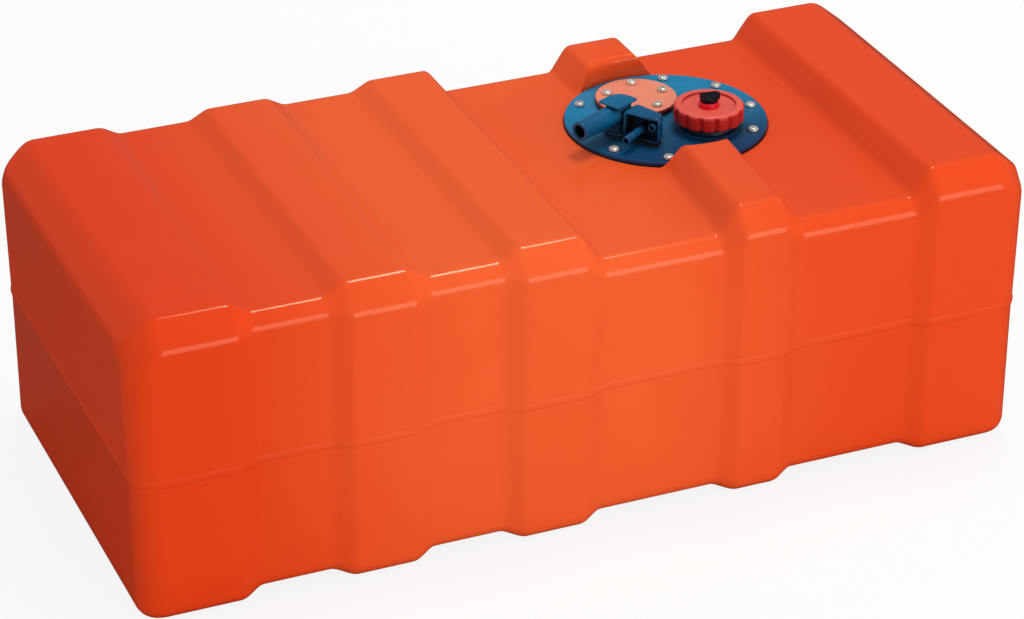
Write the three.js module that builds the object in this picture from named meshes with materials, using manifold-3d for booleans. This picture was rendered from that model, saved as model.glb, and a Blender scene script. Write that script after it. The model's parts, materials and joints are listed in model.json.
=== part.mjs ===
// Marine fuel tank. A moulded shell with five raised bands is closed by a round access
// plate, which carries the filler neck and its cap, the blanked hole for a level sender,
// the vent elbow and the hooded fuel outlets.
// Millimetres, +Z up. The origin is at the middle of the footprint, on the ground.

import * as THREE from 'three';
import { mergeVertices } from 'three/addons/utils/BufferGeometryUtils.js';
import Module from 'manifold-3d';

const wasm = await Module();
wasm.setup();

// Clearances shared by all pieces
const seatGap = 0.3;
const cutOverrun = 2;

// Tank shell, outside
const tankLength = 744;
const tankWidth = 353;
const tankHeight = 252;
const tankWall = 5.5;
const endBandTop = 84.6;
const wideBandTop = 50.6;
const narrowBandTop = 36;
const shortPanelTop = 58.8;
const flankRun = 14.9;
const flankRounding = 7;
const panelInset = 7;
const panelLift = 5.2;
const shallowSink = 8.6;
const deepSink = 22.3;
const bandChamferRun = 17.4;
const bandChamferDrop = 20.4;
const panelChamferRun = 9.6;
const panelChamferDrop = 10.8;
const chamferRounding = 3.5;
const footRadius = 14;
const sharpestFoot = 3;
const cornerRadius = 24;
const endChamferRun = 24;
const endChamferDrop = 19;
const endEdgeRounding = 4.5;
const narrowBandFlare = 4.5;

// Parting line of the two mould halves
const partingHeight = 122;
const beadHeight = 7;
const beadReach = 2;
const upperDraft = 1.7;
const lowerStep = 1.7;

// Seat of the access plate in the shell
const plateAlong = 151;
const plateAcross = 35.3;
const plateRadius = 82.5;
const pocketClearance = 0.8;
const pocketLean = 1;
const seatDepth = 3.6;
const collarDepth = 14;
const openingRadius = 62;

// Access plate and its fasteners
const plateThickness = 4.2;
const plateEdge = 0.8;
const plateGasketThickness = 2.5;
const gasketMargin = 1.2;
const plateScrewCircle = 73.4;
const plateScrewCount = 10;
const plateScrewPhase = -5;
const plateScrewLength = 16;
const screwRadius = 2.4;
const screwHeadRadius = 4.4;
const screwHeadHeight = 2.8;
const screwSocketRadius = 1.9;
const screwSocketDepth = 1.4;
const insertLength = 10;
const insertRadius = 4;

// Cover of the sender hole
const senderAlong = -10.2;
const senderAcross = 35.8;
const senderCoverRadius = 33.4;
const senderCoverThickness = 3.2;
const senderGasketThickness = 1.8;
const senderHoleRadius = 19;
const senderScrewCircle = 24.3;
const senderScrewCount = 5;
const senderScrewPhase = 3;
const senderScrewLength = 9;

// Filler neck and cap
const fillerAlong = 25.2;
const fillerAcross = -27.2;
const neckRadius = 21;
const neckBore = 17;
const neckDip = 8;
const neckBossRadius = 29;
const neckBossHeight = 1.4;
const capRadius = 29;
const capLip = 7.4;
const capSkirtHeight = 13.1;
const capThreadClearance = 0.6;
const capTopWall = 2.6;
const capRimWidth = 6.8;
const capRimHeight = 3.2;
const capDish = 0.7;
const capEdge = 1.6;
const fluteCount = 14;
const fluteDepth = 2.2;
const capSealThickness = 2;
const capSealWidth = 4.5;

// Vent in the cap
const ventBossRadius = 8.2;
const ventBossTopRadius = 7.4;
const ventBossHeight = 6;
const ventHoleRadius = 2;
const ventPlugRadius = 4.2;
const ventPlugThickness = 1.8;
const ventStemRadius = 2;
const ventStemHeight = 4.2;
const knobRadius = 7.2;
const knobBaseHeight = 3;
const knobHeight = 5.6;
const knobEdge = 0.5;
const knobWingWidth = 8;
const knobWingReach = 9.6;

// Vent elbow
const elbowAlong = -45.6;
const elbowAcross = -10;
const elbowHeading = 205.5;
const elbowRadius = 9.2;
const elbowHeight = 27.7;
const elbowAxisHeight = 18.4;
const elbowFlangeRadius = 12;
const elbowFlangeHeight = 2.5;
const spoutReach = 50;
const spoutRootRadius = 9;
const spoutNeckRadius = 7.5;
const spoutMouthRadius = 8;
const spoutBeadLength = 4;
const spoutBeadRise = 1.6;
const spoutEdge = 0.5;
const spoutBore = 4.6;
const lidThickness = 2;
const lidHalfWidth = 10.3;
const lidReach = 15;
const lidBack = 9.6;
const lidRound = 14;
const lidCorner = 2;
const lidEdge = 0.6;

// Fuel outlet housing, measured from the middle of its open face
const outletAlong = -40.1;
const outletAcross = -35.9;
const outletTurn = -54;
const outletHalfLength = 18;
const outletHeight = 25.6;
const outletDepth = 21;
const outletNarrowDepth = 15;
const outletWall = 2.2;
const outletRounding = 2;
const outletMouthDepth = 9;
const outletMouthLeft = 13;
const outletSill = 2.5;
const barbHeight = 12;
const barbSpacing = 11;
const barbRadius = 3.2;
const barbRidge = 0.6;
const barbBore = 1.9;
const barbReach = 22;
const barbRidgeCount = 3;
const shortBarbHeight = 17;
const shortBarbReach = 0.5;
const shortBarbRidgeCount = 2;
const barbRidgePitch = 3.6;
const barbRidgeLength = 3.2;

// Shanks, nuts and seals under the plate
const fittingSealThickness = 1;
const shankRadius = 7;
const shankLength = 14;
const outletShankDepth = 10;
const nutRadius = 11;
const nutHeight = 7;

// Fuel pickup
const pickupRadius = 5;
const pickupWall = 1.2;
const pickupOverlap = 9;
const pickupFootGap = 12;
const strainerRadius = 9;
const strainerHeight = 28;
const strainerWall = 1.2;
const strainerSlots = 8;
const strainerRim = 3.6;
const strainerOverlap = 6;

// Facets round the pieces, by size
const plateSegments = 48;
const neckSegments = 24;
const fittingSegments = 16;
const fastenerSegments = 10;
const insertSegments = 8;

// Shares of the sizes that these shapes follow
const beadShares = [[-0.5, 0], [0, 1], [0.5, 0]];
const innerFlankShare = 0.4;
const flareFootShare = 0.8;
const fluteShares = [1, 0.3, 0, 0, 0, 0.3];
const headRimShare = 0.45;

// Levels that follow from the sizes above
const panelLevel = tankHeight - deepSink;
const seatLevel = panelLevel - seatDepth;
const plateUnderside = seatLevel + seatGap + plateGasketThickness + seatGap;
const plateTop = plateUnderside + plateThickness;
const pocketRadius = plateRadius + pocketClearance;
const capTop = capLip + capSkirtHeight;
const capFloor = capTop - capRimHeight;
const capMiddle = capFloor - capDish;
const capCeiling = capMiddle - capTopWall;
const neckTop = capCeiling - seatGap - capSealThickness - seatGap;
const ventBossTop = capMiddle + ventBossHeight;
const ventPlugBottom = ventBossTop - ventPlugThickness - seatGap;
const fittingFoot = seatGap + fittingSealThickness + seatGap;
const endReach = endChamferRun + endEdgeRounding;

const radians = THREE.MathUtils.degToRad;

// Solids from geometry, and back

function solidOf(geometry) {
  const bare = geometry.clone();
  bare.deleteAttribute('normal');
  bare.deleteAttribute('uv');
  const merged = mergeVertices(bare);
  return new wasm.Manifold(new wasm.Mesh({
    numProp: 3,
    vertProperties: new Float32Array(merged.attributes.position.array),
    triVerts: new Uint32Array(merged.index.array),
  }));
}

function geometryOf(solid) {
  const mesh = solid.getMesh();
  const geometry = new THREE.BufferGeometry();
  geometry.setAttribute('position', new THREE.BufferAttribute(mesh.vertProperties, 3));
  geometry.setIndex(new THREE.BufferAttribute(mesh.triVerts, 1));
  return geometry;
}

// A revolved solid about Z from [radius, height] corners, listed upwards on the outside
function turned(corners, segments) {
  const points = corners.map(([radius, height]) => new THREE.Vector2(radius, height));
  const geometry = new THREE.LatheGeometry(points, segments);
  geometry.rotateX(Math.PI / 2);
  return solidOf(geometry);
}

function disc(radius, bottom, top, segments) {
  return turned([[0, bottom], [radius, bottom], [radius, top], [0, top]], segments);
}

function ring(inner, outer, bottom, top, segments) {
  return turned([[inner, bottom], [outer, bottom], [outer, top], [inner, top], [inner, bottom]], segments);
}

function chamferedDisc(radius, bottom, top, edge, segments) {
  return turned([
    [0, bottom], [radius - edge, bottom], [radius, bottom + edge],
    [radius, top - edge], [radius - edge, top], [0, top],
  ], segments);
}

// An upright prism over a closed outline of [x, y] corners
function prism(corners, bottom, top) {
  const shape = new THREE.Shape(corners.map(([x, y]) => new THREE.Vector2(x, y)));
  const geometry = new THREE.ExtrudeGeometry(shape, { depth: top - bottom, bevelEnabled: false });
  geometry.translate(0, 0, bottom);
  return solidOf(geometry);
}

// A prism whose top and bottom edges are chamfered
function edgedPrism(corners, bottom, top, edge) {
  const shape = new THREE.Shape(corners.map(([x, y]) => new THREE.Vector2(x, y)));
  const geometry = new THREE.ExtrudeGeometry(shape, {
    depth: top - bottom - edge - edge,
    bevelThickness: edge,
    bevelSize: edge,
    bevelOffset: -edge,
    bevelSegments: 1,
  });
  geometry.translate(0, 0, bottom + edge);
  return solidOf(geometry);
}

function box(x0, x1, y0, y1, z0, z1) {
  const geometry = new THREE.BoxGeometry(x1 - x0, y1 - y0, z1 - z0);
  geometry.translate((x0 + x1) / 2, (y0 + y1) / 2, (z0 + z1) / 2);
  return solidOf(geometry);
}

function moved(solid, x, y, z) {
  return solid.translate([x, y, z]);
}

// Lays a solid made along +Z down along a heading in the ground plane
function laidAlong(solid, heading) {
  return solid.rotate([0, 90, 0]).rotate([0, 0, heading]);
}

function circlePlaces(count, radius, phase) {
  return Array.from({ length: count }, (_, i) => {
    const angle = radians(phase) + (2 * Math.PI * i) / count;
    return [radius * Math.cos(angle), radius * Math.sin(angle)];
  });
}

function joined(solids) {
  return solids.reduce((sum, solid) => sum.add(solid));
}

function pointTowards(from, to, reach) {
  const length = Math.hypot(to[0] - from[0], to[1] - from[1]);
  const share = Math.min(reach / length, 1 / 2);
  return [0, 1].map((k) => from[k] + (to[k] - from[k]) * share);
}

// Rounds one corner by a quadratic curve between points at a reach along its two edges
function softCorner(before, corner, after, reach, steps) {
  const start = pointTowards(corner, before, reach);
  const end = pointTowards(corner, after, reach);
  return Array.from({ length: steps + 1 }, (_, i) => {
    const t = i / steps;
    return [0, 1].map((k) => (1 - t) ** 2 * start[k] + 2 * t * (1 - t) * corner[k] + t ** 2 * end[k]);
  });
}

function softOutline(corners, reach, steps) {
  return corners.flatMap((corner, i) => {
    const before = corners[(i + corners.length - 1) % corners.length];
    const after = corners[(i + 1) % corners.length];
    return softCorner(before, corner, after, reach, steps);
  });
}

// Tank shell: a loft of cross sections along X

const bandForm = { inset: 0, lift: 0, sink: 0, run: bandChamferRun, drop: bandChamferDrop };
const shallowForm = {
  inset: panelInset, lift: panelLift, sink: shallowSink, run: panelChamferRun, drop: panelChamferDrop,
};
const deepForm = { ...shallowForm, sink: deepSink };

const flanksInHalf = 4;
const longPanelTop = tankLength / 2 - endBandTop - wideBandTop - narrowBandTop / 2
  - shortPanelTop - flankRun * flanksInHalf;

const stretches = [
  { top: endBandTop, form: bandForm },
  { top: shortPanelTop, form: shallowForm },
  { top: wideBandTop, form: bandForm },
  { top: shortPanelTop, form: shallowForm },
  { top: wideBandTop, form: bandForm },
  { top: longPanelTop, form: deepForm },
  { top: narrowBandTop, form: bandForm, flare: narrowBandFlare },
  { top: longPanelTop, form: deepForm },
  { top: endBandTop, form: bandForm },
];

function mixedForm(a, b, share) {
  const entries = Object.keys(a).map((key) => [key, a[key] + (b[key] - a[key]) * share]);
  return Object.fromEntries(entries);
}

// Distances along one flank with the share of its rise that is made there
function flankSteps(rounded) {
  if (!rounded) return [[0, 0], [flankRun, 1]];
  const half = flankRounding / 2;
  const eased = half / flankRun;
  return [
    [-half, 0], [0, eased / 4], [half, eased],
    [flankRun - half, 1 - eased], [flankRun, 1 - eased / 4], [flankRun + half, 1],
  ];
}

// Stations over all flanks. A flare widens a band towards the back of the tank.
function flankStations(rounded, shift) {
  const stations = [];
  let x = -tankLength / 2;
  for (let i = 0; i < stretches.length - 1; i += 1) {
    const here = stretches[i];
    const next = stretches[i + 1];
    const climbs = next.form === bandForm;
    const start = x + here.top + (climbs ? shift : -shift);
    const flare = climbs ? -(next.flare ?? 0) : here.flare ?? 0;
    flankSteps(rounded).forEach(([along, share]) => {
      const risen = climbs ? share : 1 - share;
      stations.push({
        x: start + along,
        form: mixedForm(here.form, next.form, share),
        flare: flare * (flareFootShare + (1 - flareFootShare) * risen),
      });
    });
    x += here.top + flankRun;
  }
  return stations;
}

// How far a rounded end has pulled the section in at a depth from the end face
function roundPull(depth, radius) {
  const short = Math.max(radius - depth, 0);
  return radius - Math.sqrt(radius ** 2 - short ** 2);
}

// How far the roof has come down at a depth from the end face, by a soft-edged chamfer
function endTopPull(depth) {
  const straight = (d) => Math.max(endChamferRun - d, 0) * (endChamferDrop / endChamferRun);
  const around = straight(depth - endEdgeRounding) + straight(depth + endEdgeRounding);
  return (around + 2 * straight(depth)) / 4 + roundPull(depth, endEdgeRounding);
}

function endStations(side, steps, offset) {
  return Array.from({ length: steps + 1 }, (_, i) => {
    const depth = endReach * (1 - Math.sin((Math.PI / 2) * (i / steps)));
    return { x: side * (tankLength / 2 - offset - depth), form: bandForm, flare: 0, depth, side };
  });
}

// How far the walls stand inside the widest section at a height
function wallPull(z) {
  const lowered = Math.min((tankHeight - z) / (tankHeight - partingHeight), 1);
  return upperDraft * lowered + (z < partingHeight ? lowerStep : 0);
}

// Half of a cross section as [y, z, pull] from the floor to the roof
function halfSection(station, offset, footSteps, softSteps) {
  const { form } = station;
  const depth = station.depth ?? endReach;
  const cornerPull = roundPull(depth, cornerRadius - offset);
  const footPull = roundPull(depth, footRadius - offset);
  const half = tankWidth / 2 - offset - form.inset - cornerPull;
  const floor = offset + form.lift + footPull;
  const roof = tankHeight - offset - form.sink - endTopPull(depth);
  const foot = Math.max(footRadius - offset - footPull, sharpestFoot);
  const squeeze = 1 - cornerPull / (cornerRadius + cornerRadius);
  const low = [half, roof - (form.drop - offset / 2) * squeeze];
  const high = [half - (form.run - offset / 2) * squeeze, roof];
  const points = [];
  for (let i = 0; i <= footSteps; i += 1) {
    const angle = (Math.PI / 2) * (i / footSteps - 1);
    const z = floor + foot + foot * Math.sin(angle);
    points.push([half - foot + foot * Math.cos(angle), z, wallPull(z)]);
  }
  if (offset === 0) {
    beadShares.forEach(([share, bead]) => {
      const z = partingHeight + beadHeight * share;
      points.push([half, z, bead ? upperDraft - beadReach : wallPull(z)]);
    });
  }
  const lowCorner = softCorner([half, partingHeight], low, high, chamferRounding, softSteps);
  const highCorner = softCorner(low, high, [0, roof], chamferRounding, softSteps);
  [...lowCorner, ...highCorner].forEach(([y, z]) => points.push([y, z, wallPull(z)]));
  return points;
}

// Draws a point in by its pull, square to the wall that it lies on
function placedPoint([y, z, pull], station, mirror, flareShare) {
  const depth = station.depth ?? endReach;
  const turn = Math.max((cornerRadius - depth) / cornerRadius, 0);
  const outX = station.x - (station.side ?? 0) * pull * turn + station.flare * flareShare;
  return [outX, mirror * (y - pull * Math.sqrt(1 - turn ** 2)), z];
}

function sectionRow(station, offset, footSteps, softSteps) {
  const half = halfSection(station, offset, footSteps, softSteps);
  const roof = half.at(-1)[1];
  const front = half.map((point) => placedPoint(point, station, -1, 0));
  const beforeFlare = placedPoint([plateAcross, roof, 0], station, 1, 0);
  const afterFlare = placedPoint([plateAcross + pocketRadius, roof, 0], station, 1, 1);
  const back = half.map((point) => placedPoint(point, station, 1, 1)).reverse();
  return [...front, beforeFlare, afterFlare, ...back];
}

function loftedShell(offset, { endSteps, footSteps, softSteps, rounded, shift }) {
  const left = endStations(-1, endSteps, offset).reverse();
  const right = endStations(1, endSteps, offset);
  const stations = [...left, ...flankStations(rounded, shift), ...right];
  const rows = stations.map((station) => sectionRow(station, offset, footSteps, softSteps));
  const count = rows[0].length;
  const triangles = [];
  for (let r = 0; r < rows.length - 1; r += 1) {
    for (let i = 0; i < count; i += 1) {
      const j = (i + 1) % count;
      const [a, b, c, d] = [r * count + i, (r + 1) * count + i, (r + 1) * count + j, r * count + j];
      triangles.push(a, b, c, a, c, d);
    }
  }
  const last = (rows.length - 1) * count;
  endFaces(count).forEach(([a, b, c]) => triangles.push(a, b, c, last + a, last + c, last + b));
  const geometry = new THREE.BufferGeometry();
  geometry.setAttribute('position', new THREE.Float32BufferAttribute(rows.flat(2), 3));
  geometry.setIndex(triangles);
  return solidOf(geometry);
}

// Faces that close a row, in level strips from front to back and a fan at the roof
function endFaces(count) {
  const half = count / 2 - 1;
  const faces = [];
  for (let i = 0; i < half - 2; i += 1) {
    const [low, high] = [i, i + 1];
    const [lowBack, highBack] = [count - 1 - i, count - 2 - i];
    faces.push([low, high, highBack], [low, highBack, lowBack]);
  }
  const corner = half - 2;
  for (let i = half - 1; i < half + 3; i += 1) {
    faces.push([corner, i, i + 1]);
  }
  return faces;
}

function tankBody() {
  const above = tankHeight + cutOverrun;
  const fine = { endSteps: 6, footSteps: 3, softSteps: 2, rounded: true, shift: 0 };
  const plain = { endSteps: 3, footSteps: 2, softSteps: 1, rounded: false, shift: tankWall * innerFlankShare };
  const outside = loftedShell(0, fine);
  const inside = loftedShell(tankWall, plain);
  const onSeat = (solid) => moved(solid, plateAlong, plateAcross, seatLevel);
  const pocket = onSeat(turned([
    [0, 0], [pocketRadius, 0], [pocketRadius + pocketLean, above - seatLevel], [0, above - seatLevel],
  ], plateSegments));
  const keptRadius = pocketRadius + pocketLean + tankWall;
  const kept = onSeat(disc(keptRadius, -collarDepth, above - seatLevel, neckSegments));
  const opening = onSeat(disc(openingRadius, -collarDepth - cutOverrun, above - seatLevel, plateSegments));
  const insertHoles = plateScrewPlaces.map(([x, y]) => onSeat(moved(
    disc(insertRadius + seatGap, -insertLength - seatGap, cutOverrun, insertSegments), x, y, 0,
  )));
  return outside.subtract(inside.subtract(kept)).subtract(pocket).subtract(opening)
    .subtract(joined(insertHoles));
}

// Access plate with its neck and all its holes, about its own centre at its top face

// The plate has no screw where the cover of the sender hole lies
const plateScrewPlaces = circlePlaces(plateScrewCount, plateScrewCircle, plateScrewPhase)
  .filter(([x, y]) => Math.hypot(x - senderAlong, y - senderAcross) > senderCoverRadius + screwHeadRadius);
const senderScrewPlaces = circlePlaces(senderScrewCount, senderScrewCircle, senderScrewPhase);
const outletShankPlace = outletPlaceOnPlate(0, outletShankDepth);

function outletPlaceOnPlate(x, y) {
  const angle = radians(outletTurn);
  return [
    outletAlong + x * Math.cos(angle) - y * Math.sin(angle),
    outletAcross + x * Math.sin(angle) + y * Math.cos(angle),
  ];
}

function screwHoles(places, bottom, top) {
  return joined(places.map(([x, y]) => moved(
    disc(screwRadius + seatGap, bottom - cutOverrun, top + cutOverrun, fastenerSegments), x, y, 0,
  )));
}

function accessPlate() {
  const sheet = chamferedDisc(plateRadius, -plateThickness, 0, plateEdge, plateSegments);
  const neckFoot = -plateThickness - neckDip;
  const neck = moved(turned([
    [0, neckFoot], [neckRadius, neckFoot],
    [neckRadius, -plateThickness / 2], [neckBossRadius, -plateThickness / 2],
    [neckBossRadius, neckBossHeight], [neckRadius, neckBossHeight],
    [neckRadius, neckTop], [0, neckTop],
  ], neckSegments), fillerAlong, fillerAcross, 0);
  const through = (radius, [x, y], segments) => moved(
    disc(radius, -plateThickness - cutOverrun, cutOverrun, segments), x, y, 0,
  );
  const bore = moved(
    disc(neckBore, neckFoot - cutOverrun, neckTop + cutOverrun, neckSegments),
    fillerAlong, fillerAcross, 0,
  );
  return sheet.add(neck).subtract(joined([
    bore,
    through(senderHoleRadius, [senderAlong, senderAcross], neckSegments),
    through(shankRadius + seatGap, [elbowAlong, elbowAcross], fittingSegments),
    through(shankRadius + seatGap, outletShankPlace, fittingSegments),
    screwHoles(plateScrewPlaces, -plateThickness, 0),
    moved(screwHoles(senderScrewPlaces, -plateThickness, 0), senderAlong, senderAcross, 0),
  ]));
}

function accessPlateGasket() {
  const top = -plateThickness - seatGap;
  const bottom = top - plateGasketThickness;
  const band = ring(openingRadius, plateRadius - gasketMargin, bottom, top, neckSegments);
  return band.subtract(screwHoles(plateScrewPlaces, bottom, top));
}

function panHeadScrew(length) {
  return turned([
    [0, -length], [screwRadius, -length], [screwRadius, 0], [screwHeadRadius, 0],
    [screwHeadRadius, screwHeadHeight * headRimShare], [screwSocketRadius, screwHeadHeight],
    [screwSocketRadius, screwHeadHeight - screwSocketDepth], [0, screwHeadHeight - screwSocketDepth],
  ], fastenerSegments);
}

function plateInsert() {
  return ring(screwRadius + seatGap, insertRadius, -insertLength, 0, insertSegments);
}

function senderCover() {
  const sheet = chamferedDisc(senderCoverRadius, 0, senderCoverThickness, plateEdge, neckSegments);
  return sheet.subtract(screwHoles(senderScrewPlaces, 0, senderCoverThickness));
}

function senderCoverGasket() {
  const band = ring(senderHoleRadius, senderCoverRadius - gasketMargin, 0, senderGasketThickness, neckSegments);
  return band.subtract(screwHoles(senderScrewPlaces, 0, senderGasketThickness));
}

// Filler cap, about the neck's axis at the plate's top face

function fluteOutline() {
  const count = fluteCount * fluteShares.length;
  return Array.from({ length: count }, (_, i) => {
    const angle = (2 * Math.PI * i) / count;
    const radius = capRadius - fluteDepth * fluteShares[i % fluteShares.length];
    return [radius * Math.cos(angle), radius * Math.sin(angle)];
  });
}

function fillerCap() {
  const body = edgedPrism(fluteOutline(), capLip, capTop, capEdge);
  const inside = disc(neckRadius + capThreadClearance, capLip - cutOverrun, capCeiling, neckSegments);
  const rimInside = capRadius - capRimWidth;
  const recess = turned([
    [0, capMiddle], [rimInside, capFloor], [rimInside, capTop + cutOverrun], [0, capTop + cutOverrun],
  ], neckSegments);
  const boss = turned([
    [0, capMiddle - capTopWall / 2], [ventBossRadius, capMiddle - capTopWall / 2],
    [ventBossRadius, capMiddle], [ventBossTopRadius, ventBossTop], [0, ventBossTop],
  ], fittingSegments);
  const plugSeat = disc(
    ventPlugRadius + seatGap, ventPlugBottom - seatGap, ventBossTop + cutOverrun, fittingSegments,
  );
  const hole = disc(ventHoleRadius, capCeiling - cutOverrun, ventBossTop, fastenerSegments);
  return body.subtract(inside).subtract(recess).add(boss).subtract(plugSeat).subtract(hole);
}

function capSeal() {
  const bottom = neckTop + seatGap;
  return ring(neckRadius - capSealWidth, neckRadius, bottom, bottom + capSealThickness, neckSegments);
}

function ventPlug() {
  const top = ventPlugBottom + ventPlugThickness;
  return turned([
    [0, ventPlugBottom], [ventPlugRadius, ventPlugBottom], [ventPlugRadius, top],
    [ventStemRadius, top], [ventStemRadius, top + ventStemHeight], [0, top + ventStemHeight],
  ], fittingSegments);
}

function ventKnob() {
  const bottom = ventBossTop + seatGap;
  const base = chamferedDisc(knobRadius, bottom, bottom + knobBaseHeight, knobEdge, fittingSegments);
  const half = knobWingWidth / 2;
  const wingOutline = softOutline(
    [[-knobRadius, -half], [knobWingReach, -half], [knobWingReach, half], [-knobRadius, half]], half, 3,
  );
  const wing = edgedPrism(wingOutline, bottom + knobBaseHeight / 2, bottom + knobHeight, knobEdge);
  const stemTop = ventPlugBottom + ventPlugThickness + ventStemHeight;
  const socket = disc(ventStemRadius + seatGap, bottom - cutOverrun, stemTop + seatGap, fastenerSegments);
  return base.add(wing).subtract(socket);
}

// Vent elbow, about its own upright axis at the plate's top face

function ventElbow() {
  const column = turned([
    [0, -shankLength], [shankRadius, -shankLength], [shankRadius, fittingFoot],
    [elbowFlangeRadius, fittingFoot], [elbowFlangeRadius, fittingFoot + elbowFlangeHeight],
    [elbowRadius, fittingFoot + elbowFlangeHeight], [elbowRadius, elbowHeight], [0, elbowHeight],
  ], fittingSegments);
  const spout = turned([
    [0, 0], [spoutRootRadius, 0], [spoutNeckRadius, spoutReach - spoutBeadLength],
    [spoutMouthRadius, spoutReach - spoutBeadLength + spoutBeadRise],
    [spoutMouthRadius, spoutReach - spoutEdge],
    [spoutMouthRadius - spoutEdge, spoutReach], [0, spoutReach],
  ], fittingSegments);
  const upright = disc(spoutBore, -shankLength - cutOverrun, elbowAxisHeight, fittingSegments);
  const along = disc(spoutBore, 0, spoutReach + cutOverrun, fittingSegments);
  return column
    .add(moved(laidAlong(spout, elbowHeading), 0, 0, elbowAxisHeight))
    .subtract(upright.add(moved(laidAlong(along, elbowHeading), 0, 0, elbowAxisHeight)));
}

// The lid is square, but for one corner behind the spout, which is round
function ventElbowLid() {
  const right = [lidReach, -lidHalfWidth];
  const left = [lidReach, lidHalfWidth];
  const leftBehind = [-lidBack, lidHalfWidth];
  const rightBehind = [-lidBack, -lidHalfWidth];
  const outline = [
    ...softCorner(rightBehind, right, left, lidCorner, 2),
    ...softCorner(right, left, leftBehind, lidCorner, 2),
    ...softCorner(left, leftBehind, rightBehind, lidCorner, 2),
    ...softCorner(leftBehind, rightBehind, right, lidRound, 6),
  ];
  return edgedPrism(outline, 0, lidThickness, lidEdge).rotate([0, 0, elbowHeading]);
}

function ventElbowSeal() {
  return ring(shankRadius + seatGap, elbowFlangeRadius, 0, fittingSealThickness, fittingSegments);
}

// Outlet housing, about the middle of its open face at the plate's top face

function outletPlan(margin) {
  const half = outletHalfLength - margin;
  const taper = outletRounding + outletRounding;
  return softOutline([
    [-half, margin], [half, margin],
    [half - taper, outletNarrowDepth - margin], [-half + taper, outletDepth - margin],
  ], outletRounding, 2);
}

// Takes a solid from the elbow's own place to the housing's frame
function inOutletFrame(solid) {
  return moved(solid, elbowAlong - outletAlong, elbowAcross - outletAcross, 0).rotate([0, 0, -outletTurn]);
}

function hoseBarb(reach, ridgeCount) {
  const corners = [[0, -outletMouthDepth], [barbRadius + barbRidge, -outletMouthDepth]];
  for (let i = ridgeCount; i > 0; i -= 1) {
    const foot = reach - barbRidgePitch * i;
    corners.push([barbRadius, foot], [barbRadius + barbRidge, foot], [barbRadius, foot + barbRidgeLength]);
  }
  corners.push([barbRadius, reach], [0, reach]);
  return laidAlong(turned(corners, fastenerSegments), -90);
}

function outletHousing() {
  const shell = edgedPrism(outletPlan(0), fittingFoot, outletHeight, outletWall / 2);
  const mouth = box(
    -outletMouthLeft, outletHalfLength - outletWall,
    -cutOverrun, outletMouthDepth,
    fittingFoot + outletSill, outletHeight - outletWall,
  );
  const shank = moved(
    disc(shankRadius, -shankLength, fittingFoot + outletSill, fittingSegments), 0, outletShankDepth, 0,
  );
  const barbs = [
    [0, barbHeight, barbReach, barbRidgeCount],
    [barbSpacing, shortBarbHeight, shortBarbReach, shortBarbRidgeCount],
  ];
  const stubs = barbs.map(([x, height, reach, ridges]) => moved(hoseBarb(reach, ridges), x, 0, height));
  const bores = barbs.map(([x, height, reach]) => {
    const bore = disc(barbBore, -outletShankDepth - barbBore, reach + cutOverrun, fastenerSegments);
    return moved(laidAlong(bore, -90), x, 0, height);
  });
  const drops = barbs.map(([x, height]) => moved(
    disc(barbBore, -shankLength - cutOverrun, height, fastenerSegments), x, outletShankDepth, 0,
  ));
  const socket = moved(
    disc(pickupRadius + seatGap, -shankLength - cutOverrun, -shankLength + pickupOverlap, fittingSegments),
    0, outletShankDepth, 0,
  );
  const spoutRoom = disc(spoutRootRadius + seatGap, 0, spoutReach, fittingSegments);
  const elbowRoom = inOutletFrame(joined([
    disc(elbowFlangeRadius + seatGap, -cutOverrun, fittingFoot + elbowFlangeHeight + seatGap, fittingSegments),
    disc(elbowRadius + seatGap, 0, outletHeight + cutOverrun, fittingSegments),
    moved(laidAlong(spoutRoom, elbowHeading), 0, 0, elbowAxisHeight),
  ]));
  return shell.subtract(mouth).add(shank).add(joined(stubs))
    .subtract(joined([...bores, ...drops, socket, elbowRoom]));
}

function outletHousingSeal() {
  const sheet = prism(outletPlan(gasketMargin), 0, fittingSealThickness);
  const across = (radius, segments) => disc(radius, -cutOverrun, fittingSealThickness + cutOverrun, segments);
  return sheet
    .subtract(moved(across(shankRadius + seatGap, fittingSegments), 0, outletShankDepth, 0))
    .subtract(moved(across(barbBore, fastenerSegments), barbSpacing, outletShankDepth, 0))
    .subtract(inOutletFrame(across(elbowFlangeRadius + seatGap, fittingSegments)));
}

function shankNut() {
  return prism(circlePlaces(6, nutRadius, 0), -nutHeight, 0)
    .subtract(disc(shankRadius + seatGap, -nutHeight - cutOverrun, cutOverrun, fittingSegments));
}

// Fuel pickup, about its own axis, hanging from the housing's shank

const pickupTop = plateTop - shankLength + pickupOverlap - seatGap;
const strainerBottom = tankWall + panelLift + pickupFootGap;
const strainerTop = strainerBottom + strainerHeight;
const pickupBottom = strainerTop - strainerOverlap;

function pickupTube() {
  return ring(pickupRadius - pickupWall, pickupRadius, pickupBottom, pickupTop, fastenerSegments);
}

function pickupStrainer() {
  const socket = pickupRadius + seatGap;
  const shoulder = strainerTop - strainerOverlap;
  const cup = turned([
    [0, strainerBottom], [strainerRadius, strainerBottom], [strainerRadius, shoulder],
    [socket + strainerWall, strainerTop], [socket, strainerTop], [socket, shoulder - strainerWall],
    [strainerRadius - strainerWall, shoulder - strainerRim],
    [strainerRadius - strainerWall, strainerBottom + strainerWall], [0, strainerBottom + strainerWall],
  ], fastenerSegments);
  const slots = [];
  for (let i = 0; i < strainerSlots / 2; i += 1) {
    const slot = box(
      -strainerRadius - cutOverrun, strainerRadius + cutOverrun, -strainerWall / 2, strainerWall / 2,
      strainerBottom + strainerRim, shoulder - strainerRim - strainerWall,
    );
    slots.push(slot.rotate([0, 0, (360 / strainerSlots) * i]));
  }
  return cup.subtract(joined(slots));
}

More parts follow.
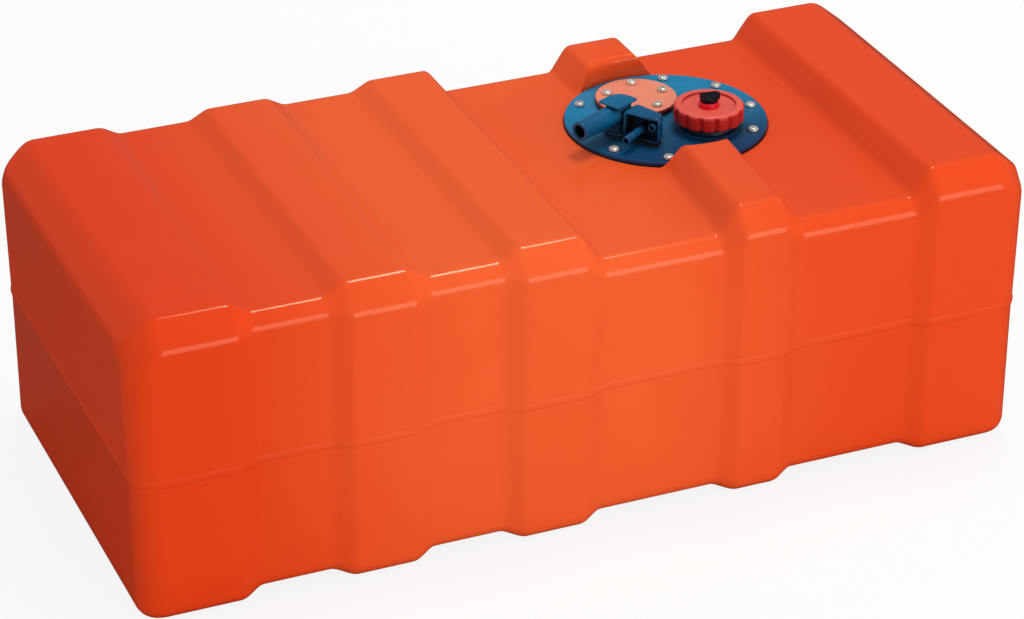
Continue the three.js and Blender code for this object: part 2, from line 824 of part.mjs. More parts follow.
// Assembly

const tank = new THREE.Group();
const onPlate = new THREE.Group();
const onNeck = new THREE.Group();
onPlate.position.set(plateAlong, plateAcross, plateTop);
onNeck.position.set(fillerAlong, fillerAcross, 0);
onPlate.add(onNeck);
tank.add(onPlate);

function addPart(group, name, solid, [color, roughness, metalness], place = [0, 0, 0], turn = 0) {
  const material = new THREE.MeshStandardMaterial({ color, roughness, metalness });
  const mesh = new THREE.Mesh(geometryOf(solid), material);
  mesh.name = name;
  mesh.position.set(...place);
  mesh.rotation.z = radians(turn);
  group.add(mesh);
}

const orangePlastic = [0xe6501e, 0.45, 0];
const bluePlastic = [0x0a6ab8, 0.4, 0];
const redPlastic = [0xd8453a, 0.45, 0];
const darkPlastic = [0x10203c, 0.4, 0];
const blackRubber = [0x1a1a1c, 0.8, 0];
const brightSteel = [0xc8ccd0, 0.25, 1];
const yellowBrass = [0xb8944a, 0.35, 1];
const paleNylon = [0xd8d4c8, 0.6, 0];

addPart(tank, 'tank_body', tankBody(), orangePlastic);
addPart(onPlate, 'access_plate', accessPlate(), bluePlastic);
addPart(onPlate, 'access_plate_gasket', accessPlateGasket(), blackRubber);
plateScrewPlaces.forEach(([x, y], i) => {
  const number = String(i + 1).padStart(2, '0');
  const insertPlace = [plateAlong + x, plateAcross + y, seatLevel];
  addPart(onPlate, `plate_screw_${number}`, panHeadScrew(plateScrewLength), brightSteel, [x, y, seatGap]);
  addPart(tank, `plate_insert_${number}`, plateInsert(), yellowBrass, insertPlace);
});

const senderCoverLevel = seatGap + senderGasketThickness + seatGap;
const senderHeadLevel = senderCoverLevel + senderCoverThickness + seatGap;
const senderGasketPlace = [senderAlong, senderAcross, seatGap];
const senderCoverPlace = [senderAlong, senderAcross, senderCoverLevel];
addPart(onPlate, 'sender_cover_gasket', senderCoverGasket(), blackRubber, senderGasketPlace);
addPart(onPlate, 'sender_cover', senderCover(), redPlastic, senderCoverPlace);
senderScrewPlaces.forEach(([x, y], i) => {
  const place = [senderAlong + x, senderAcross + y, senderHeadLevel];
  addPart(onPlate, `sender_cover_screw_${i + 1}`, panHeadScrew(senderScrewLength), brightSteel, place);
});

addPart(onNeck, 'cap_seal', capSeal(), blackRubber);
addPart(onNeck, 'filler_cap', fillerCap(), redPlastic);
addPart(onNeck, 'vent_plug', ventPlug(), blackRubber);
addPart(onNeck, 'vent_knob', ventKnob(), darkPlastic);

const underPlate = -plateThickness - seatGap;
const elbowSealPlace = [elbowAlong, elbowAcross, seatGap];
const elbowLidPlace = [elbowAlong, elbowAcross, elbowHeight + seatGap];
addPart(onPlate, 'vent_elbow_seal', ventElbowSeal(), blackRubber, elbowSealPlace);
addPart(onPlate, 'vent_elbow', ventElbow(), bluePlastic, [elbowAlong, elbowAcross, 0]);
addPart(onPlate, 'vent_elbow_lid', ventElbowLid(), bluePlastic, elbowLidPlace);
addPart(onPlate, 'vent_elbow_nut', shankNut(), paleNylon, [elbowAlong, elbowAcross, underPlate]);

const outletPlace = [outletAlong, outletAcross, 0];
const outletSealPlace = [outletAlong, outletAcross, seatGap];
addPart(onPlate, 'outlet_housing_seal', outletHousingSeal(), blackRubber, outletSealPlace, outletTurn);
addPart(onPlate, 'outlet_housing', outletHousing(), bluePlastic, outletPlace, outletTurn);
addPart(onPlate, 'outlet_housing_nut', shankNut(), paleNylon, [...outletShankPlace, underPlate]);

const pickupPlace = [plateAlong + outletShankPlace[0], plateAcross + outletShankPlace[1], 0];
addPart(tank, 'pickup_tube', pickupTube(), paleNylon, pickupPlace);
addPart(tank, 'pickup_strainer', pickupStrainer(), paleNylon, pickupPlace);

export default tank;
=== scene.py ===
# %% [markdown]
# # A moulded marine fuel tank
#
# The object is a low orange tank for a small boat, with five raised bands across it. A round
# blue plate sits in the long recess at one end. It carries a red filler cap with a vent knob,
# a red cover over the hole of the level sender, a blue vent elbow and a blue hood over two
# hose barbs.
#
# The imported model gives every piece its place. This script keeps the hidden pieces as they
# are, gives them their finish, and builds finer versions of the pieces that the eye meets.

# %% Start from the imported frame
import json
import math

import bmesh
import bpy
from mathutils import Matrix, Vector


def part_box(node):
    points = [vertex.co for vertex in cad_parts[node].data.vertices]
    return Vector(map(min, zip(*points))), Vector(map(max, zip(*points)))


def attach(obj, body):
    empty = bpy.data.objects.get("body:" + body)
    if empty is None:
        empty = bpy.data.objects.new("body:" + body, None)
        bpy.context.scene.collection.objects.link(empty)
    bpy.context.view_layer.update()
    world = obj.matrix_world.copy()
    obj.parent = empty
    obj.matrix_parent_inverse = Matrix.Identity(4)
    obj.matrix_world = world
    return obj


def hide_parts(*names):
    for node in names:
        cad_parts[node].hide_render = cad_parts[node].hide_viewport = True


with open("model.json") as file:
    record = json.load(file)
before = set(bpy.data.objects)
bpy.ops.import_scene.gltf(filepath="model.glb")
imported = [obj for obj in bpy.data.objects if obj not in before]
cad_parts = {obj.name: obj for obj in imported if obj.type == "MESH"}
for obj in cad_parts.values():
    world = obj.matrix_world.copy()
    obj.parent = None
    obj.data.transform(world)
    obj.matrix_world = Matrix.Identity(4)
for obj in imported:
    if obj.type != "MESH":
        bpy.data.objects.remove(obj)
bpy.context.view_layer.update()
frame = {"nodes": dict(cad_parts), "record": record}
scene = bpy.context.scene
MM = 0.001

# %% [markdown]
# ## Camera
#
# A camera can be placed by eye, or solved from things whose place is known. Here the corners
# of the bands and the outline of the tank were matched to the picture, which gives a long
# lens about three metres away, turned a little to the left and looking down. The lens is long
# because the tank's parallel edges hardly draw together.

# %% Place the camera
AZIMUTH, ELEVATION, ROLL = math.radians(-22.748), math.radians(28.972), math.radians(0.075)
CAMERA_PLACE = Vector((-0.9720, -2.3210, 1.4988))
FOCAL_PIXELS, FRAME_WIDTH, SENSOR = 3565.9, 1024, 36.0

back = Vector((
    math.sin(AZIMUTH) * math.cos(ELEVATION), -math.cos(AZIMUTH) * math.cos(ELEVATION), math.sin(ELEVATION),
))
level = (-back).cross(Vector((0, 0, 1))).normalized()
upward = level.cross(-back)
right = level * math.cos(ROLL) + upward * math.sin(ROLL)
up = upward * math.cos(ROLL) - level * math.sin(ROLL)
lens_data = bpy.data.cameras.new("camera")
lens_data.sensor_width = SENSOR
lens_data.lens = FOCAL_PIXELS * SENSOR / FRAME_WIDTH
lens_data.clip_start, lens_data.clip_end = 0.05, 60
camera = bpy.data.objects.new("camera", lens_data)
camera.matrix_world = Matrix((
    (right.x, up.x, back.x, CAMERA_PLACE.x),
    (right.y, up.y, back.y, CAMERA_PLACE.y),
    (right.z, up.z, back.z, CAMERA_PLACE.z),
    (0, 0, 0, 1),
))
scene.collection.objects.link(camera)
scene.camera = camera
print("lens", round(lens_data.lens, 1), "mm")

# %% [markdown]
# ## Writing materials as sums
#
# A node material is a net of boxes, and long nets are hard to read as code. A small class
# wraps one output socket, and its plus, minus and times signs add the Math nodes. A pattern
# can then be written as a sum, such as `1 - mask * 0.3`. All other nodes come from one method.

# %% A socket that can be added up
class Value:
    """One output socket of a material, which arithmetic signs turn into Math nodes."""

    def __init__(self, paint, socket):
        self.paint, self.socket = paint, socket

    def _math(self, operation, first, second):
        return self.paint.node("ShaderNodeMath", {"operation": operation}, {0: first, 1: second})

    def __add__(self, other):
        return self._math("ADD", self, other)

    def __radd__(self, other):
        return self._math("ADD", other, self)

    def __sub__(self, other):
        return self._math("SUBTRACT", self, other)

    def __rsub__(self, other):
        return self._math("SUBTRACT", other, self)

    def __mul__(self, other):
        return self._math("MULTIPLY", self, other)

    def __rmul__(self, other):
        return self._math("MULTIPLY", other, self)


# %% A material and its nodes
class Paint:
    """A new material with a Principled shader, and the methods that add nodes to it."""

    def __init__(self, name, **constants):
        self.material = bpy.data.materials.new(name)
        self.material.use_nodes = True
        self.tree = self.material.node_tree
        self.shader = self.tree.nodes["Principled BSDF"]
        for socket, value in constants.items():
            self.shader.inputs[socket.replace("_", " ")].default_value = value
        self.place = self.node("ShaderNodeTexCoord", output="Object")

    def node(self, kind, settings=None, inputs=None, output=0):
        made = self.tree.nodes.new(kind)
        for key, value in (settings or {}).items():
            setattr(made, key, value)
        for key, value in (inputs or {}).items():
            if isinstance(value, Value):
                self.tree.links.new(value.socket, made.inputs[key])
            else:
                made.inputs[key].default_value = value
        return Value(self, made.outputs[output])

    def noise(self, scale, detail=2.0, roughness=0.5, place=None):
        inputs = {"Vector": place or self.place, "Scale": scale, "Detail": detail, "Roughness": roughness}
        return self.node("ShaderNodeTexNoise", None, inputs, "Fac")

    def clamped(self, value, low, high, interpolation="LINEAR"):
        """Zero below the low value, one above the high one, and a slope between them."""
        inputs = {"Value": value, "From Min": low, "From Max": high}
        return self.node("ShaderNodeMapRange", {"clamp": True, "interpolation_type": interpolation}, inputs)

    def axis(self, letter, output="Object"):
        """One coordinate of the object's place, or of its normal."""
        source = self.place if output == "Object" else self.node("ShaderNodeTexCoord", output=output)
        return self.node("ShaderNodeSeparateXYZ", None, {"Vector": source}, letter)

    def shade_in_hollows(self, reach):
        """A painted-shade mask: one in narrow hollows, and zero on open faces."""
        openness = self.node("ShaderNodeAmbientOcclusion", {"samples": 8}, {"Distance": reach}, "AO")
        return self.clamped(1 - openness, 0.28, 0.75)

    def stretched(self, factors):
        return self.node("ShaderNodeMapping", None, {"Vector": self.place, "Scale": factors})

    def mixed(self, share, first, second):
        inputs = {0: share, 6: first, 7: second}
        return self.node("ShaderNodeMix", {"data_type": "RGBA"}, inputs, 2)

    def bumped(self, height, distance, strength=1.0):
        inputs = {"Height": height, "Distance": distance, "Strength": strength}
        return self.node("ShaderNodeBump", None, inputs)

    def feed(self, **links):
        for socket, value in links.items():
            self.tree.links.new(value.socket, self.shader.inputs[socket.replace("_", " ")])
        return self.material


def rgb(red, green, blue):
    return (red, green, blue, 1.0)


# %% [markdown]
# ## The plastics
#
# A shell of this kind is usually polyethylene powder melted inside a hot turning mould. Its
# skin is satin, and it shows three things: clouds where the pigment lies thicker, a slow wave
# that makes the light lines waver, and a fine grain printed by the mould. The fittings are
# injection moulded, so they are smoother and shinier. Each recipe is the same: one slow noise
# for the colour, one middle noise for the gloss, and fine noises for the bump. What differs is
# where the pale colour goes, and there it is painted light: a painted sheen across the middle
# of the shell, painted light on the upper faces of the red fittings, and painted light on the
# far side of the blue plate. These places follow how bright the picture is there. A thin wall,
# the sun or fuel stains could be the cause, and so could the light alone: the picture doesn't
# tell. The deep colour beside it is painted shade on the fittings. An Ambient Occlusion node
# finds the hollows, and painted shade darkens them towards black.

# %% Where the painted light goes
def everywhere(paint):
    return 1


# Painted sheen: the pale colour lies across the middle of the shell, in place of a broad reflection of light.
def painted_sheen_in_middle(paint):
    x = paint.axis("X")
    left = paint.clamped(x, -0.33, -0.08, "SMOOTHSTEP")
    rightward = paint.clamped(x, 0.02, 0.25, "SMOOTHSTEP")
    return left * (1 - rightward * 0.75)


# Painted light: faces that look up take the pale colour, and side faces take the shaded one.
def painted_light_on_tops(paint):
    return paint.clamped(paint.axis("Z", "Normal"), 0.35, 0.95)


# Painted light: the far side of the plate is pale, and its near side is painted in shade.
def painted_light_far_side(paint):
    return paint.clamped(paint.axis("Y"), -0.045, 0.09, "SMOOTHSTEP")


# %% A recipe for moulded plastic
def moulded_plastic(name, deep, plain, pale_share_and_painted_light, gloss, clouds, grain, wave_depth, scuffs, hollow_shade, **constants):
    """Plastic with painted light as a pale colour in its place, clouds, uneven gloss, grain, scuffs and
    painted shade in hollows.
    """
    paint = Paint(name, **constants)
    cloud_scale, cloudiness = clouds
    cloud = paint.clamped(paint.noise(cloud_scale, 3.0, 0.55), 0.3, 0.7)
    wear = paint.noise(cloud_scale * 9, 6.0, 0.7)
    scuffed = paint.clamped(wear, 0.66, 0.8) * paint.clamped(paint.noise(cloud_scale * 2.3), 0.5, 0.75)
    scuff_colour = [channel + (1 - channel) * 0.25 for channel in plain[:3]]
    # The deep colour stands for shade and the pale one for light, mixed by the painted-light share and the
    # clouds; where the share is one everywhere, only the clouds mix the two tones.
    body = paint.mixed((1 - cloudiness + cloud * cloudiness) * pale_share_and_painted_light(paint), deep, plain)
    worn = paint.mixed(scuffed * scuffs, body, rgb(*scuff_colour))
    reach, darkness = hollow_shade
    # Painted shade: hollows are darkened towards near black, and made a little rougher.
    painted_hollow_shade = paint.shade_in_hollows(reach) * darkness
    colour = paint.mixed(painted_hollow_shade, worn, rgb(0.002, 0.002, 0.003))
    patches = paint.noise(cloud_scale * 5, 4.0)
    roughness = gloss + (patches - 0.5) * 0.1 + scuffed * (scuffs * 0.5) + painted_hollow_shade * 0.3
    grain_scale, grain_depth = grain
    wave = paint.bumped(paint.noise(cloud_scale * 3, 1.0), wave_depth)
    print_of_mould = paint.noise(grain_scale, 2.0, 0.6)
    inputs = {"Height": print_of_mould, "Distance": grain_depth, "Strength": 1.0, "Normal": wave}
    fine = paint.node("ShaderNodeBump", None, inputs)
    return paint.feed(Base_Color=colour, Roughness=roughness, Normal=fine)


# Painted sheen across the middle of the shell, and painted shade in its hollows.
tank_plastic = moulded_plastic(
    "tank_orange", rgb(0.74, 0.047, 0.003), rgb(0.84, 0.114, 0.025), painted_sheen_in_middle,
    0.45, (7.0, 0.25), (900.0, 0.00005), 0.0012, 0.12, (0.012, 0.25),
    IOR=1.45, Specular_IOR_Level=0.08, Coat_Weight=0.6, Coat_Roughness=0.11,
)
# Painted light on the far side of the plate, painted shade on its near side and deep painted shade in its
# hollows.
plate_plastic = moulded_plastic(
    "fitting_blue", rgb(0.0, 0.032, 0.125), rgb(0.0, 0.235, 0.500), painted_light_far_side,
    0.34, (30.0, 0.2), (1800.0, 0.00002), 0.0002, 0.2, (0.026, 1.0), IOR=1.4,
)
# Painted light on the cap's upper faces, painted shade on its sides and near-black painted shade in its
# hollows.
cap_plastic = moulded_plastic(
    "cap_red", rgb(0.45, 0.014, 0.012), rgb(0.76, 0.105, 0.085), painted_light_on_tops,
    0.36, (40.0, 0.15), (1800.0, 0.00002), 0.0002, 0.25, (0.008, 1.0), IOR=1.4,
)
# Painted light on the upper faces of the cover, painted shade on its sides and in its hollows.
cover_plastic = moulded_plastic(
    "cover_red_painted_light", rgb(0.50, 0.030, 0.022), rgb(0.84, 0.27, 0.18), painted_light_on_tops,
    0.40, (40.0, 0.15), (1800.0, 0.00002), 0.0002, 0.25, (0.008, 0.6), IOR=1.4,
)
boss_plastic = moulded_plastic(
    "boss_red", rgb(0.62, 0.003, 0.010), rgb(0.75, 0.005, 0.018), everywhere,
    0.28, (60.0, 1.0), (1800.0, 0.00001), 0.0001, 0.1, (0.004, 0.2), IOR=1.45,
)
knob_plastic = moulded_plastic(
    "knob_navy", rgb(0.001, 0.002, 0.008), rgb(0.002, 0.004, 0.018), everywhere,
    0.34, (60.0, 1.0), (1800.0, 0.00001), 0.0001, 0.3, (0.004, 0.5), IOR=1.3,
)
nylon = moulded_plastic(
    "natural_nylon", rgb(0.58, 0.55, 0.47), rgb(0.68, 0.65, 0.57), everywhere,
    0.45, (40.0, 1.0), (1500.0, 0.00002), 0.0002, 0.1, (0.006, 0.4), IOR=1.53,
)
print("plastics:", [m.name for m in bpy.data.materials])

# %% [markdown]
# ## Rubber and metals
#
# Rubber is dull and a little dusty. The screws are stainless steel: bright, with fine
# turning marks round the head. The marks are a noise that is squeezed flat in height, so it
# runs round each screw. The inserts in the shell are plain brass. Both metals are only partly
# metallic here, because a full metal shows nothing but its surroundings, and these are kept
# dim in reflections.

# %% Rubber, steel and brass
def dull_rubber():
    paint = Paint("black_rubber", IOR=1.5)
    dust = paint.clamped(paint.noise(120.0, 5.0, 0.7), 0.45, 0.75)
    colour = paint.mixed(dust, rgb(0.012, 0.012, 0.013), rgb(0.035, 0.034, 0.033))
    bump = paint.bumped(paint.noise(2500.0), 0.00003)
    return paint.feed(Base_Color=colour, Roughness=0.62 + dust * 0.2, Normal=bump)


def turned_metal(name, dark, bright, roughness):
    paint = Paint(name, Metallic=0.6)
    rings = paint.noise(300.0, 2.0, 0.5, paint.stretched((0.3, 0.3, 12.0)))
    stain = paint.clamped(paint.noise(180.0, 4.0), 0.4, 0.75)
    colour = paint.mixed(stain, bright, dark)
    bump = paint.bumped(rings, 0.00002)
    return paint.feed(Base_Color=colour, Roughness=roughness + rings * 0.12, Normal=bump)


rubber = dull_rubber()
steel = turned_metal("stainless_steel", rgb(0.62, 0.62, 0.62), rgb(0.90, 0.90, 0.89), 0.20)
brass = turned_metal("turned_brass", rgb(0.42, 0.27, 0.08), rgb(0.62, 0.43, 0.16), 0.28)

# %% [markdown]
# ## Tools for shapes
#
# Every piece below starts in a bmesh. A turned piece is a profile of radius and height that
# is spun once round. A fused piece is a union of such solids, with others cut out of it. Voxel
# remeshing then melts the joints into the small fillets that a mould gives, which a bevel
# can't do where two odd shapes meet.

# %% Turned shapes
def lathe(profile, segments=96, bevel=0.0, bevel_segments=3):
    """A bmesh of a profile of (radius, height) corners in mm, spun about Z, with its corners rounded."""
    bm = bmesh.new()
    corners = [bm.verts.new((radius * MM, 0, height * MM)) for radius, height in profile]
    for pair in zip(corners, corners[1:]):
        bm.edges.new(pair)
    bmesh.ops.spin(
        bm, geom=bm.verts[:] + bm.edges[:], cent=(0, 0, 0), axis=(0, 0, 1),
        angle=math.tau, steps=segments, use_merge=True,
    )
    bmesh.ops.remove_doubles(bm, verts=bm.verts, dist=1e-7)
    bmesh.ops.recalc_face_normals(bm, faces=bm.faces)
    if bevel:
        soften(bm, bevel, bevel_segments)
    return bm


def soften(bm, width, segments=3, sharper_than=25):
    """Bevels the edges whose faces turn by more than an angle in degrees."""
    limit = math.radians(sharper_than)
    sharp = [e for e in bm.edges if len(e.link_faces) == 2 and e.calc_face_angle() > limit]
    bmesh.ops.bevel(
        bm, geom=sharp, offset=width * MM, offset_type="OFFSET", segments=segments, profile=0.5,
        affect="EDGES", clamp_overlap=True, material=-1,
    )


def moved(bm, x=0.0, y=0.0, z=0.0):
    bmesh.ops.translate(bm, verts=bm.verts, vec=(x * MM, y * MM, z * MM))
    return bm


def turned(bm, angle, axis="Z"):
    bmesh.ops.rotate(bm, verts=bm.verts, cent=(0, 0, 0), matrix=Matrix.Rotation(math.radians(angle), 3, axis))
    return bm


def laid(bm, heading):
    """Lays a shape made along Z down along a heading in degrees."""
    return turned(turned(bm, 90, "Y"), heading)


def prism(outline, bottom, top):
    """An upright prism over corners in mm."""
    bm = bmesh.new()
    face = bm.faces.new([bm.verts.new((x * MM, y * MM, bottom * MM)) for x, y in outline])
    grown = bmesh.ops.extrude_face_region(bm, geom=[face])
    raised = [v for v in grown["geom"] if isinstance(v, bmesh.types.BMVert)]
    bmesh.ops.translate(bm, verts=raised, vec=(0, 0, (top - bottom) * MM))
    bmesh.ops.recalc_face_normals(bm, faces=bm.faces)
    return bm


# %% Objects, cuts and fillets
def mesh_object(bm, name):
    mesh = bpy.data.meshes.new(name)
    bm.to_mesh(mesh)
    bm.free()
    obj = bpy.data.objects.new(name, mesh)
    scene.collection.objects.link(obj)
    return obj


def evaluated(obj):
    """The bmesh of an object with its modifiers applied. The object is removed."""
    bpy.context.view_layer.update()
    depsgraph = bpy.context.evaluated_depsgraph_get()
    result = bmesh.new()
    result.from_object(obj, depsgraph)
    bpy.data.objects.remove(obj)
    return result


def combined(first, second, operation):
    """UNION, DIFFERENCE or INTERSECT of two closed bmeshes."""
    base, tool = mesh_object(first, "base"), mesh_object(second, "tool")
    step = base.modifiers.new("combine", "BOOLEAN")
    step.object, step.operation, step.solver = tool, operation, "MANIFOLD"
    result = evaluated(base)
    bpy.data.objects.remove(tool)
    return result


def fused(solids, cuts=()):
    result = solids[0]
    for solid in solids[1:]:
        result = combined(result, solid, "UNION")
    for cut in cuts:
        result = combined(result, cut, "DIFFERENCE")
    return result


def melted(bm, voxel=0.5, passes=6):
    """Remeshes a fused shape in fine voxels and smooths it, which rounds its joints and edges."""
    obj = mesh_object(bm, "melting")
    remesh = obj.modifiers.new("remesh", "REMESH")
    remesh.mode, remesh.voxel_size = "VOXEL", voxel * MM
    smooth = obj.modifiers.new("smooth", "SMOOTH")
    smooth.factor, smooth.iterations = 0.5, passes
    return evaluated(obj)


def piece(bm, name, body, material, replaces=(), sharp_angle=35):
    """A finished piece: shaded smooth up to an angle, riding on its body."""
    obj = mesh_object(bm, name)
    obj.data.shade_smooth()
    obj.data.set_sharp_from_angle(angle=math.radians(sharp_angle))
    obj.data.materials.append(material)
    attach(obj, body)
    if replaces:
        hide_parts(*replaces)
    print(name, "triangles:", sum(len(p.vertices) - 2 for p in obj.data.polygons))
    return obj


# %% [markdown]
# ## The shell
#
# The tank is one long loft. Its cross section changes along it: on a band it is wide and
# tall with a big chamfer, and between bands it steps in and down. The loft could be pulled
# from a cube with many loops, but then every flank needs its own care. Here one edge loop is
# extruded along the tank, and each new loop is fitted to the section at its own place. The
# loops lie close together where the surface bends and far apart where it is flat. The narrow
# band widens towards the rear, and its front half leans to the right as it nears the plate.
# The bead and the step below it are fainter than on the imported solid, as in the picture.

# %% Sizes of the shell, in millimetres
LENGTH, WIDTH, HEIGHT, WALL = 744.0, 353.0, 252.0, 5.5
FLANK, FLANK_ROUNDING = 14.9, 7.0
BAND = {"inset": 0.0, "lift": 0.0, "sink": 0.0, "run": 17.4, "drop": 20.4}
SHALLOW = {"inset": 7.0, "lift": 5.2, "sink": 8.6, "run": 9.6, "drop": 10.8}
DEEP = {**SHALLOW, "sink": 22.3}
END_BAND, WIDE_BAND, NARROW_BAND, SHORT_PANEL = 84.6, 50.6, 36.0, 58.8
LONG_PANEL = LENGTH / 2 - END_BAND - WIDE_BAND - NARROW_BAND / 2 - SHORT_PANEL - FLANK * 4
STRETCHES = [
    (END_BAND, BAND, 0), (SHORT_PANEL, SHALLOW, 0), (WIDE_BAND, BAND, 0), (SHORT_PANEL, SHALLOW, 0),
    (WIDE_BAND, BAND, 0), (LONG_PANEL, DEEP, 0), (NARROW_BAND, BAND, 4.5), (LONG_PANEL, DEEP, 0),
    (END_BAND, BAND, 0),
]
FLARE_FOOT, FRONT_LEAN = 0.8, 13.0
EDGE_ROUNDING, FOOT, SHARPEST_FOOT = 4.6, 14.0, 3.0
CORNER, END_RUN, END_DROP, END_EDGE = 24.0, 24.0, 19.0, 4.5
PARTING, BEAD_HEIGHT, BEAD_REACH, UPPER_DRAFT, LOWER_STEP = 122.0, 6.0, 0.7, 1.7, 0.4
PLATE_LOW, PLATE_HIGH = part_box("access_plate")
PLATE_X, PLATE_Y = [(PLATE_LOW[k] + PLATE_HIGH[k]) / 2 / MM for k in (0, 1)]
PLATE_RADIUS = (PLATE_HIGH.x - PLATE_LOW.x) / 2 / MM
GASKET_LOW, GASKET_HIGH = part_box("access_plate_gasket")
SEAT = GASKET_LOW.z / MM - 0.3
PLATE_UNDER, PLATE_TOP = GASKET_HIGH.z / MM + 0.3, GASKET_HIGH.z / MM + 4.5
POCKET, COLLAR_DEPTH, OPENING = PLATE_RADIUS + 0.8, 14.0, 62.0
print("plate centre", round(PLATE_X, 1), round(PLATE_Y, 1))
print("plate top", round(PLATE_TOP, 1), "seat", round(SEAT, 1))


# %% A curve between two directions
def rounded(start, corner, end, steps):
    """Points of a curve that leaves the start and reaches the end while heading for the corner."""
    shares = [i / steps for i in range(steps + 1)]
    return [start * (1 - t) ** 2 + corner * (2 * t * (1 - t)) + end * t ** 2 for t in shares]


# %% The section at one place along the tank
def eased(distance):
    """Share of a flank's rise at a distance along it, with both ends rounded."""
    half = FLANK_ROUNDING / 2
    rounding = lambda d: (d + half) ** 2 / (4 * half * FLANK)
    if distance < half:
        return rounding(max(distance, -half))
    if distance > FLANK - half:
        return 1 - rounding(max(FLANK - distance, -half))
    return distance / FLANK


def round_pull(depth, radius):
    short = max(radius - depth, 0)
    return radius - math.sqrt(radius ** 2 - short ** 2)


def end_top_pull(depth):
    straight = lambda d: max(END_RUN - d, 0) * END_DROP / END_RUN
    around = straight(depth - END_EDGE) + straight(depth + END_EDGE)
    return (around + 2 * straight(depth)) / 4 + round_pull(depth, END_EDGE)


def wall_pull(z):
    lowered = min((HEIGHT - z) / (HEIGHT - PARTING), 1)
    return UPPER_DRAFT * lowered + (LOWER_STEP if z < PARTING else 0)


def soft_corner(before, corner, after, reach, steps):
    """Points of a rounded corner, with one more point just before and after it to keep the flats flat."""
    def towards(target, distance):
        return corner + (target - corner).normalized() * min(distance, (target - corner).length / 2)
    start, end = towards(before, reach), towards(after, reach)
    curve = rounded(start, corner, end, steps)
    return [towards(before, reach * 1.35), *curve, towards(after, reach * 1.35)]


def half_section(form, depth, offset, foot_steps, soft_steps):
    """One side of the section as (y, z, pull) from the floor to the roof."""
    corner_pull, foot_pull = round_pull(depth, CORNER - offset), round_pull(depth, FOOT - offset)
    half = WIDTH / 2 - offset - form["inset"] - corner_pull
    floor = offset + form["lift"] + foot_pull
    roof = HEIGHT - offset - form["sink"] - end_top_pull(depth)
    foot = max(FOOT - offset - foot_pull, SHARPEST_FOOT)
    squeeze = 1 - corner_pull / (2 * CORNER)
    low = Vector((half, roof - (form["drop"] - offset / 2) * squeeze))
    high = Vector((half - (form["run"] - offset / 2) * squeeze, roof))
    points = [(half - foot - 1, floor, wall_pull(floor))]
    for i in range(foot_steps + 1):
        angle = math.pi / 2 * (i / foot_steps - 1)
        z = floor + foot + foot * math.sin(angle)
        points.append((half - foot + foot * math.cos(angle), z, wall_pull(z)))
    points.append((half, floor + foot + 1, wall_pull(floor + foot + 1)))
    if offset == 0:
        for turn in range(-100, 101, 25):
            share = max(min(turn / 90, 1), -1)
            z = PARTING + BEAD_HEIGHT / 2 * (math.sin(share * math.pi / 2) if abs(turn) < 95 else turn / 75)
            rise = math.cos(share * math.pi / 2)
            points.append((half, z, wall_pull(z) * (1 - rise) + (UPPER_DRAFT - BEAD_REACH) * rise))
    for corner in (
        soft_corner(Vector((half, PARTING)), low, high, EDGE_ROUNDING, soft_steps),
        soft_corner(low, high, Vector((0, roof)), EDGE_ROUNDING, soft_steps),
    ):
        points += [(y, z, wall_pull(z)) for y, z in corner]
    return points


# %% Stations along the tank
def flank_stations(steps):
    """Every station on the flanks, as (x, form, flare)."""
    found, x, half = [], -LENGTH / 2, FLANK_ROUNDING / 2
    marks = [-half - 1]
    marks += [-half + FLANK_ROUNDING * i / steps for i in range(steps + 1)]
    marks += [FLANK - half + FLANK_ROUNDING * i / steps for i in range(steps + 1)]
    marks += [FLANK + half + 1]
    for (top, here, flare), (_, after, next_flare) in zip(STRETCHES, STRETCHES[1:]):
        climbs = after is BAND
        for mark in marks:
            share = eased(mark)
            form = {key: here[key] + (after[key] - here[key]) * share for key in here}
            height_share = share if climbs else 1 - share
            widening = FLARE_FOOT + (1 - FLARE_FOOT) * height_share
            spread = (-next_flare if climbs else flare) * widening
            found.append((x + top + mark, form, spread, None, 0))
        x += top + FLANK
    return found


def end_stations(side, steps, offset):
    reach = END_RUN + END_EDGE
    depths = [reach * (1 - math.sin(math.pi / 2 * i / steps)) for i in range(steps + 1)]
    found = [(side * (LENGTH / 2 - offset - depth), BAND, 0, depth, side) for depth in [reach + 2, *depths]]
    return found if side > 0 else found[::-1]


def section_row(station, offset, foot_steps, soft_steps):
    """The closed loop of points at a station, in metres."""
    x, form, flare, depth, side = station
    deep = END_RUN + END_EDGE if depth is None else depth
    half = half_section(form, deep, offset, foot_steps, soft_steps)
    swing = max((CORNER - deep) / CORNER, 0)

    def placed(point, mirror, flare_share):
        y, z, pull = point
        out_x = x - side * pull * swing + flare * flare_share
        return Vector((out_x, mirror * (y - pull * math.sqrt(1 - swing ** 2)), z)) * MM

    roof = half[-1][1]
    lean = FRONT_LEAN if flare else 0
    front = [placed(p, -1, 0) for p in half]
    rear = [placed(p, 1, 1) for p in reversed(half)]
    middle = placed((PLATE_Y, roof, 0), 1, 0) + Vector((lean, 0, 0)) * MM
    return [*front, middle, placed((PLATE_Y + POCKET, roof, 0), 1, 1), *rear]


def end_wall(bm, loop):
    """Fills a loop with one face and splits it level by level, because the wall's draft bends it."""
    face = bm.faces.new(loop)
    for front_vert, rear_vert in list(zip(loop, loop[::-1]))[1:len(loop) // 2 - 2]:
        halves = bmesh.utils.face_split(face, front_vert, rear_vert)
        face = max((face, halves[0]), key=lambda f: len(f.verts))


